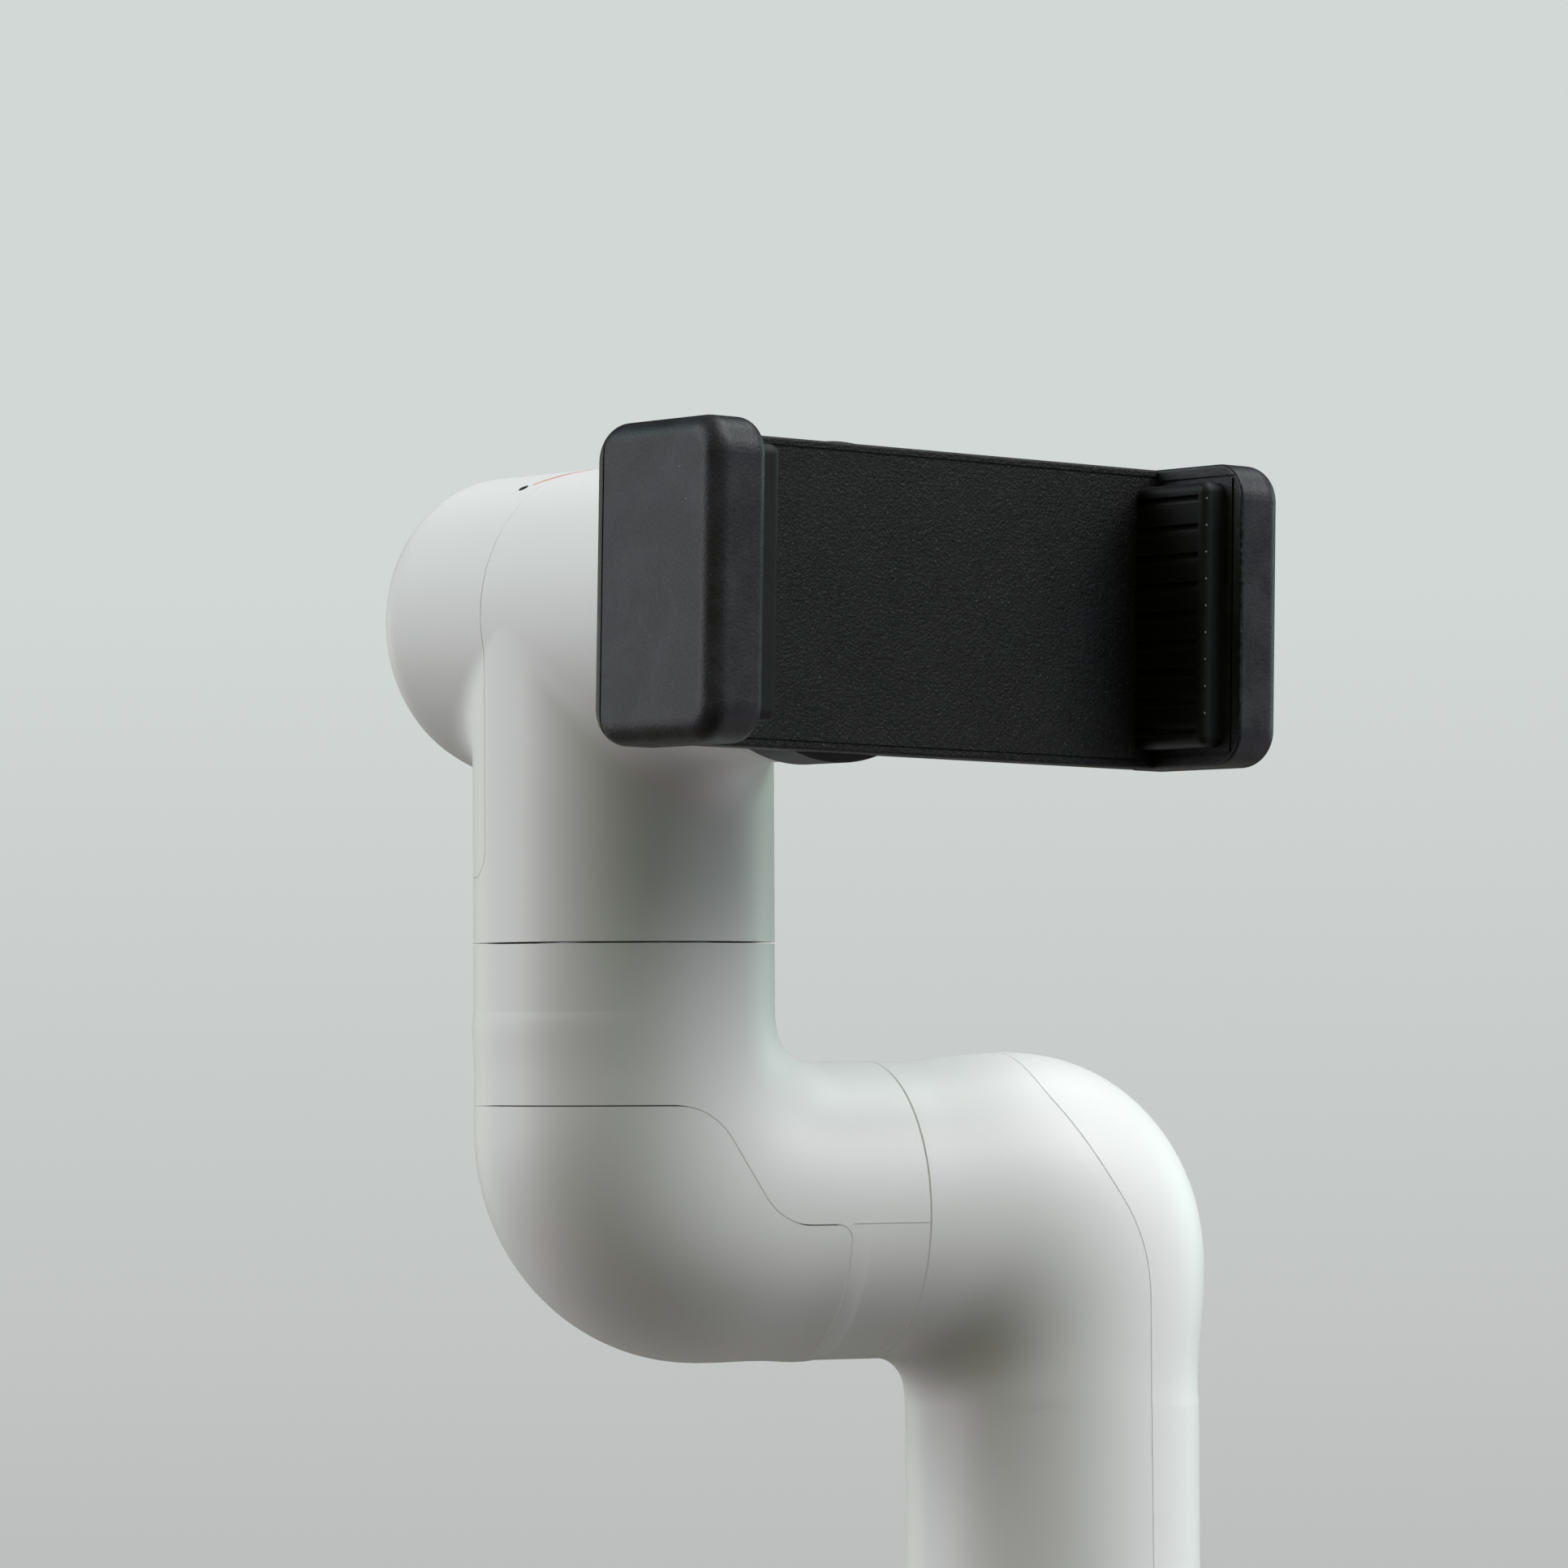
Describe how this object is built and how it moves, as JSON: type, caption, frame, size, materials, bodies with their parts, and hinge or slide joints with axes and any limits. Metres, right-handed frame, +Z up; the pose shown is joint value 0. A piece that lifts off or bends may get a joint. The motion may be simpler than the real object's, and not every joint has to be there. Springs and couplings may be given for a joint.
{
  "type": "motorised camera arm",
  "caption": "Desktop tubular motorised arm with stacked turning joints, a bolt-down round base and a spring-loaded phone clamp on a rotating tool flange.",
  "frame": {"origin": "centre of the base's underside, on the vertical axis of the first joint", "axes": "+Z up, +X towards the upper arm's side, -Y the side the clamp faces at rest (turned 13 degrees)"},
  "size_m": [0.1962, 0.1493, 0.5125],
  "materials": {
    "shell_white": "satin moulded plastic",
    "cover_white": "satin moulded plastic",
    "clamp_grained": "fine spark-eroded grain",
    "jaw_plastic": "fine satin grain",
    "pad_rubber": "soft moulded ribs",
    "adapter_black": "satin",
    "plate_paint": "satin powder coat",
    "base_rubber": "matt",
    "button_grey": "satin",
    "servo_case": "satin",
    "bearing_steel": "ground",
    "horn_alloy": "machined",
    "screw_steel": "black oxide",
    "spring_steel": "drawn wire",
    "circuit_board": "solder mask",
    "connector_steel": "plated",
    "connector_black": "moulded",
    "cable_black": "sleeved"
  },
  "bodies": {
    "base": {"base_housing": "shell_white", "base_plate": "plate_paint", "base_rubber_pad": "base_rubber", "base_screws": "screw_steel", "control_board": "circuit_board", "usb_port": "connector_steel", "power_jack": "connector_black", "power_switch": "connector_black", "base_turn_servo": "servo_case", "base_turn_bearing": "bearing_steel"},
    "turret": {"turret_housing": "shell_white", "turret_cover": "cover_white", "turret_cable": "cable_black", "base_turn_horn": "horn_alloy", "base_turn_horn_screws": "screw_steel", "shoulder_servo": "servo_case", "shoulder_bearing": "bearing_steel"},
    "upper_arm": {"upper_arm_housing": "shell_white", "upper_arm_lower_cover": "cover_white", "upper_arm_upper_cover": "cover_white", "upper_arm_cable": "cable_black", "shoulder_horn": "horn_alloy", "shoulder_horn_screws": "screw_steel", "elbow_servo": "servo_case", "elbow_bearing": "bearing_steel"},
    "forearm": {"forearm_housing": "shell_white", "forearm_lower_cover": "cover_white", "forearm_rear_cover": "cover_white", "forearm_cable": "cable_black", "elbow_horn": "horn_alloy", "elbow_horn_screws": "screw_steel", "wrist_bend_servo": "servo_case", "wrist_bend_bearing": "bearing_steel"},
    "wrist": {"wrist_housing": "shell_white", "wrist_cover": "cover_white", "wrist_bend_horn": "horn_alloy", "wrist_bend_horn_screws": "screw_steel", "wrist_turn_servo": "servo_case", "wrist_turn_bearing": "bearing_steel"},
    "head": {"head_housing": "shell_white", "head_back_cover": "cover_white", "head_board": "circuit_board", "wrist_turn_horn": "horn_alloy", "wrist_turn_horn_screws": "screw_steel", "tool_servo": "servo_case", "tool_bearing": "bearing_steel"},
    "clamp": {"tool_horn": "horn_alloy", "tool_horn_screws": "screw_steel", "tool_flange": "shell_white", "clamp_adapter": "adapter_black", "clamp_screw": "screw_steel", "clamp_housing": "clamp_grained", "clamp_front_plate": "clamp_grained", "fixed_jaw_pad": "pad_rubber", "clamp_springs": "spring_steel"},
    "jaw": {"sliding_jaw": "jaw_plastic", "sliding_jaw_pad": "pad_rubber"},
    "button": {"power_button": "button_grey"}
  },
  "joints": [
    {"name": "base_turn", "type": "hinge", "parent": "base", "child": "turret", "pos_m": [0, 0, 0.066], "axis": [0, 0, 1], "range_deg": [-165, 165], "stiffness_Nm_per_rad": 10},
    {"name": "shoulder_bend", "type": "hinge", "parent": "turret", "child": "upper_arm", "pos_m": [0.03565, 0, 0.15], "axis": [-1, 0, 0], "range_deg": [-135, 135], "stiffness_Nm_per_rad": 20},
    {"name": "elbow_bend", "type": "hinge", "parent": "upper_arm", "child": "forearm", "pos_m": [0.03565, 0, 0.28], "axis": [1, 0, 0], "range_deg": [-150, 150], "stiffness_Nm_per_rad": 15},
    {"name": "wrist_bend", "type": "hinge", "parent": "forearm", "child": "wrist", "pos_m": [-0.0315, 0, 0.4], "axis": [1, 0, 0], "range_deg": [-145, 110], "stiffness_Nm_per_rad": 10},
    {"name": "wrist_turn", "type": "hinge", "parent": "wrist", "child": "head", "pos_m": [-0.0713, 0, 0.4402], "axis": [0, 0, 1], "range_deg": [-165, 165], "stiffness_Nm_per_rad": 3},
    {"name": "tool_turn", "type": "hinge", "parent": "head", "child": "clamp", "pos_m": [-0.06237, -0.03796, 0.4888], "axis": [0.229, -0.9734, 0], "range_deg": [-180, 180], "stiffness_Nm_per_rad": 2},
    {"name": "jaw_slide", "type": "slide", "parent": "clamp", "child": "jaw", "axis": [-0.9732, -0.229, 0.0232], "range_m": [0, 0.028], "stiffness_N_per_m": 60, "springref_m": -0.02, "deforming": ["clamp_springs"]},
    {"name": "power_button_press", "type": "slide", "parent": "base", "child": "button", "axis": [0, 1, 0], "range_m": [0, 0.0012]}
  ]
}
